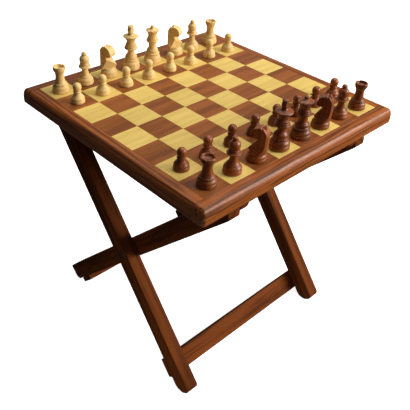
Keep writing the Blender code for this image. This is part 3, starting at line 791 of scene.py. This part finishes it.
BISHOP = foot(13.8, 12.0) + [
    (10.0, 12.4), (10.35, 13.1), (9.7, 13.9), (9.0, 14.0), (9.0, 14.0), (7.5, 16.0), (6.3, 19.0),
    (5.5, 22.5), (5.35, 25.4), (6.2, 27.6), (8.0, 28.6), (10.0, 29.4), (10.6, 30.5), (10.2, 31.6),
    (9.0, 32.1), (9.0, 32.1), (6.9, 32.6), (6.4, 33.4), (6.7, 34.1), (6.7, 34.1), (7.9, 34.6),
    (8.3, 35.4), (7.9, 36.2), (7.1, 36.6), (7.1, 36.6), (7.4, 38.2), (8.0, 40.4), (8.35, 42.8),
    (8.1, 45.2), (7.1, 47.4), (5.3, 49.2), (3.4, 50.2), (3.2, 50.5), (3.2, 50.5), (3.9, 51.1),
    (4.45, 52.3), (4.3, 53.8), (3.3, 55.3), (1.8, 56.1), (0.02, 56.3)]

QUEEN = foot(15.5, 14.2) + [
    (11.9, 14.6), (12.9, 15.4), (13.2, 16.4), (12.7, 17.4), (11.2, 17.8), (11.2, 17.8), (10.2, 18.8),
    (10.2, 18.8), (10.7, 20.4), (10.5, 22.4), (9.4, 24.4), (8.4, 25.2), (8.4, 25.2), (7.6, 26.6),
    (7.0, 29.0), (6.95, 32.0), (7.3, 35.0), (8.0, 37.2), (9.0, 38.4), (9.0, 38.4), (10.8, 39.2),
    (11.3, 40.3), (10.9, 41.5), (9.9, 41.9), (9.9, 41.9), (9.7, 42.5), (10.1, 43.3), (9.7, 44.2),
    (8.8, 44.5), (8.8, 44.5), (8.6, 45.2), (8.9, 46.0), (8.5, 46.9), (7.8, 47.3), (7.8, 47.3),
    (7.9, 50.0), (8.6, 53.4), (9.9, 56.6), (11.6, 59.2), (12.2, 60.0), (12.2, 60.0), (12.15, 60.6),
    (11.3, 60.9), (11.3, 60.9), (9.4, 60.7), (7.0, 61.3), (4.8, 62.6), (3.4, 63.5), (2.7, 64.0),
    (2.7, 64.0), (3.3, 64.8), (3.6, 66.0), (3.2, 67.3), (2.0, 68.2), (0.02, 68.6)]

KING = foot(15.8, 15.0) + [
    (11.2, 15.4), (11.8, 16.2), (11.9, 17.2), (11.4, 18.0), (10.2, 18.3), (10.2, 18.3), (9.9, 19.2),
    (9.9, 19.2), (10.6, 20.6), (10.6, 22.6), (9.8, 24.8), (8.6, 26.2), (8.6, 26.2), (7.3, 28.0),
    (6.45, 30.6), (6.3, 33.0), (6.8, 35.2), (8.2, 36.6), (8.2, 36.6), (10.8, 37.2), (11.9, 38.4),
    (11.5, 39.8), (10.2, 40.3), (10.2, 40.3), (9.9, 41.0), (10.4, 42.0), (10.0, 43.2), (9.3, 43.6),
    (9.3, 43.6), (9.1, 44.3), (9.6, 45.3), (9.2, 46.4), (8.2, 46.9), (8.2, 46.9), (7.6, 48.6),
    (7.5, 50.8), (8.2, 53.4), (9.9, 56.2), (12.0, 58.3), (13.4, 59.2), (13.4, 59.2), (13.7, 60.0),
    (13.2, 60.8), (13.2, 60.8), (11.0, 61.6), (8.0, 62.3), (5.4, 63.2), (5.0, 63.6), (5.0, 63.6),
    (4.6, 64.4), (4.9, 66.4), (5.6, 69.2), (5.75, 71.4), (5.3, 73.4), (4.5, 74.8), (4.5, 74.8),
    (5.1, 75.6), (5.5, 76.6), (5.3, 77.8), (4.2, 78.6), (0.02, 79.0)]

KNIGHT_BASE = foot(14.8, 12.0) + [(10.8, 12.4), (10.4, 13.4), (10.4, 13.4), (9.0, 14.6), (0.02, 14.8)]


def angles_for(kind, steps):
    """The spokes of a turned piece, closer together where a notch is cut."""
    spokes = [2 * math.pi * i / steps for i in range(steps)]
    if kind == "rook":
        for quarter in range(4):
            middle = math.pi / 2 * quarter + math.pi / 4
            spokes = [a for a in spokes if abs((a - middle + math.pi) % (2 * math.pi) - math.pi) > 0.17]
            spokes += [middle + off for off in (-0.13, -0.12, -0.055, -0.045, 0.0, 0.045, 0.055, 0.12, 0.13)]
    return sorted(a % (2 * math.pi) for a in spokes)


def shaped(kind, radius, height, angle):
    """Cuts that break the roundness: the rook's notches, the queen's scallops, the king's flats."""
    if kind == "rook" and height > 42.9 and radius > 7.5:
        off = abs(angle % (math.pi / 2) - math.pi / 4)
        depth = max(0.0, 1.0 - off / 0.12) * 3.2
        height = min(height, max(44.3 - depth, 41.3))
    if kind == "queen" and 59.0 < height < 61.2 and radius > 8.5:
        wave = abs(math.sin(angle * 4.5))
        height -= (1 - wave) ** 2 * 1.5 * min(1.0, (radius - 8.5) / 2.5)
    if kind == "king" and height > 64.5:
        flat = 4.1 + 0.012 * (height - 64.5)
        depth = abs(radius * math.sin(angle))
        if depth > flat:
            return radius, height, flat / depth
    return radius, height, 1.0


def turned(kind, profile, steps):
    """A solid of revolution, in metres, with its foot at zero."""
    line = smooth_line(profile, 0.42)
    spokes = angles_for(kind, steps)
    builder = bmesh.new()
    rings = []
    for radius, height in line:
        ring = []
        for angle in spokes:
            r, h, squash = shaped(kind, radius, height, angle)
            ring.append(builder.verts.new((r * math.cos(angle) * MM, r * math.sin(angle) * squash * MM,
                                           h * MM)))
        rings.append(ring)
    for lower, upper in zip(rings, rings[1:]):
        for index in range(len(spokes)):
            follower = (index + 1) % len(spokes)
            builder.faces.new((lower[index], lower[follower], upper[follower], upper[index]))
    builder.faces.new(list(reversed(rings[0])))
    builder.faces.new(rings[-1])
    return builder


# ---------------------------------------------------------------- the knight, carved from a turned blank

KNIGHT_SIDE = [
    (-13.6, 12.0), (-13.6, 12.0), (-14.6, 16.0), (-15.2, 26.0), (-15.2, 36.0), (-14.4, 41.5), (-12.6, 46.5),
    (-10.4, 50.0), (-8.4, 52.0), (-8.4, 52.0), (-7.0, 54.6), (-7.0, 54.6), (-4.6, 51.8), (-4.6, 51.8),
    (-2.6, 54.8), (-2.6, 54.8), (0.2, 52.6), (0.2, 52.6), (3.2, 52.2), (6.2, 50.4), (8.5, 47.4), (10.0, 44.0),
    (10.5, 41.0), (9.9, 38.4), (8.0, 36.8), (8.0, 36.8), (4.0, 36.4), (-1.1, 35.4), (-1.1, 35.4), (3.4, 29.8),
    (7.4, 24.8), (11.2, 20.4), (11.2, 20.4), (8.8, 17.6), (6.4, 15.0), (6.4, 12.0), (6.4, 12.0)]


def outline_distance(outline, a, b):
    """Signed distance from points (a, b) to a closed outline, negative inside."""
    best = np.full(a.shape, 1e9)
    inside = np.zeros(a.shape, bool)
    for (x0, y0), (x1, y1) in zip(outline, outline[1:] + outline[:1]):
        dx, dy = x1 - x0, y1 - y0
        t = np.clip(((a - x0) * dx + (b - y0) * dy) / (dx * dx + dy * dy + 1e-12), 0, 1)
        best = np.minimum(best, (a - x0 - t * dx) ** 2 + (b - y0 - t * dy) ** 2)
        crosses = (y0 > b) != (y1 > b)
        reach = x0 + (b - y0) * dx / (dy if abs(dy) > 1e-12 else 1e-12)
        inside ^= crosses & (a < reach)
    return np.where(inside, -1, 1) * np.sqrt(best)


def both(first, second, soft=0.5):
    """Where two solids overlap, with the edge eased by soft millimetres."""
    share = np.clip(0.5 + (first - second) / (2 * soft), 0, 1)
    return second * (1 - share) + first * share + soft * share * (1 - share)


def either(first, second, soft=0.4):
    return -both(-first, -second, soft)


def knight_field(x, y, z):
    """Signed distance to the knight: the side outline cut from a round blank with flat cheeks."""
    side = outline_distance(smooth_line(KNIGHT_SIDE, 0.8, closed=True), y, z)
    width = 8.0 - 0.5 * np.clip((z - 30) / 24, 0, 1) + 5.0 * np.clip((28 - z) / 15, 0, 1) ** 1.5
    across = np.abs(x)
    head = both(side, across - width, 0.45)
    blank = 14.9 - 1.4 * np.clip((20 - z) / 7, 0, 1)
    head = both(head, np.hypot(x, y) - blank, 0.6)
    facet = (x - 8.0) * 0.567 + (y - (z - 25.5) * 0.229) * 0.824
    facet = np.where(z < 35, facet, facet - (z - 35) * 6)
    head = both(head, facet, 0.35)
    ears = (across - 8.0) * 0.80 + (z - 52.0) * 0.60
    head = both(head, ears, 0.4)
    parting = (z - 49.4) * 0.76 - across * 0.65
    parting = np.where(y < -3.4, parting, -9.0)
    head = both(head, parting, 0.35)
    crease = 0.45 - np.abs(outline_distance([(5.0, 41.0), (9.6, 39.6), (9.6, 39.4), (5.0, 40.8)], y, z))
    head = both(head, np.minimum(crease, across - width + 0.9), 0.2)
    base = outline_distance([(0.0, 0.0)] + smooth_line(KNIGHT_BASE, 0.5) + [(0.0, 14.8)], np.hypot(x, y), z)
    return either(head, base, 0.35)


def surface_of(field, low, high, step):
    """The zero surface of a field as vertices and quads, by surface nets."""
    axes = [np.arange(low[i], high[i] + step, step) for i in range(3)]
    value = field(*np.meshgrid(*axes, indexing="ij"))
    shape = [n - 1 for n in value.shape]
    total = np.zeros((*shape, 3))
    count = np.zeros(shape)
    inside = value < 0
    edges = []
    for axis in range(3):
        before = [slice(None)] * 3
        after = [slice(None)] * 3
        before[axis], after[axis] = slice(0, -1), slice(1, None)
        crossing = np.argwhere(inside[tuple(before)] != inside[tuple(after)])
        ahead = crossing.copy()
        ahead[:, axis] += 1
        v0, v1 = value[tuple(crossing.T)], value[tuple(ahead.T)]
        points = crossing.astype(float)
        points[:, axis] += v0 / (v0 - v1)
        others = [i for i in range(3) if i != axis]
        keep = np.all([(crossing[:, o] > 0) & (crossing[:, o] < shape[o]) for o in others], 0)
        crossing, points, outward = crossing[keep], points[keep], v0[keep] < 0
        cells = []
        for da, db in ((0, 0), (-1, 0), (-1, -1), (0, -1)):
            cell = crossing.copy()
            cell[:, others[0]] += da
            cell[:, others[1]] += db
            np.add.at(total, tuple(cell.T), points)
            np.add.at(count, tuple(cell.T), 1)
            cells.append(cell)
        edges.append((cells, outward, axis))
    used = np.argwhere(count > 0)
    number = np.full(shape, -1)
    number[tuple(used.T)] = np.arange(len(used))
    verts = total[tuple(used.T)] / count[tuple(used.T)][:, None] * step + np.array(low)
    faces = []
    for cells, outward, axis in edges:
        quad = np.stack([number[tuple(c.T)] for c in cells], 1)
        flip = outward if axis != 1 else ~outward
        faces.append(np.where(flip[:, None], quad, quad[:, ::-1]))
    return verts, np.concatenate(faces)


def knight_shape():
    step = 0.42
    verts, faces = surface_of(knight_field, (-16.0, -16.0, -0.8), (16.0, 16.0, 58.0), step)
    verts[:, 2] = np.maximum(verts[:, 2], 0.0)
    return verts * MM, faces.tolist()


# ---------------------------------------------------------------- the army

PROFILES = {"pawn": (PAWN, 48), "rook": (ROOK, 56), "bishop": (BISHOP, 52), "queen": (QUEEN, 63),
            "king": (KING, 60)}
KNIGHT_YAW = {"light_knight_left": 13, "light_knight_right": 28, "dark_knight_left": 18,
              "dark_knight_right": 22}


def foot_centre(node):
    """The middle of a piece's round underside, on the board."""
    part = bpy.data.objects[node]
    points = [part.matrix_world @ vertex.co for vertex in part.data.vertices]
    floor = min(point.z for point in points)
    sole = [point for point in points if point.z < floor + 0.0001]
    low = [min(point[axis] for point in sole) for axis in range(2)]
    high = [max(point[axis] for point in sole) for axis in range(2)]
    return Vector(((low[0] + high[0]) / 2, (low[1] + high[1]) / 2, floor))


def build_army():
    shapes = {}
    for kind, (profile, steps) in PROFILES.items():
        shapes[kind] = mesh_from(turned(kind, profile, steps), f"shape_{kind}")
    verts, faces = knight_shape()
    shapes["knight"] = bpy.data.meshes.new("shape_knight")
    shapes["knight"].from_pydata(verts.tolist(), [], faces)
    for node in sorted(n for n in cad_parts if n.startswith(("light_", "dark_"))):
        colour, kind = node.split("_")[:2]
        centre = foot_centre(node)
        yaw = RNG.uniform(-20, 20) if kind != "king" else RNG.uniform(-6, 6)
        if kind == "knight":
            yaw = KNIGHT_YAW[node] + (180 if colour == "light" else 0)
        mesh = shapes[kind].copy()
        mesh.name = node
        mesh.transform(Matrix.Translation(centre) @ Matrix.Rotation(math.radians(yaw), 4, "Z"))
        pith_angle = RNG.uniform(0, 2 * math.pi)
        pith = RNG.uniform(14, 30)
        pith = (pith * math.cos(pith_angle), pith * math.sin(pith_angle))
        add_grain(mesh, (0, 0, 1), (1, 0, 0), centre, pith, RNG.uniform(-300, 300))
        set_attribute(mesh, "tint", "FLOAT", "value", [RNG.uniform(-1, 1)] * len(mesh.vertices))
        look = "light_piece" if colour == "light" else "dark_piece"
        piece(f"vis_{node}", mesh, node, look, [node], 32 if kind != "knight" else 60)


make_camera()
make_studio()
build_rails()
build_squares()
build_legs()
build_stretchers()
build_battens()
finish_hardware()
build_army()
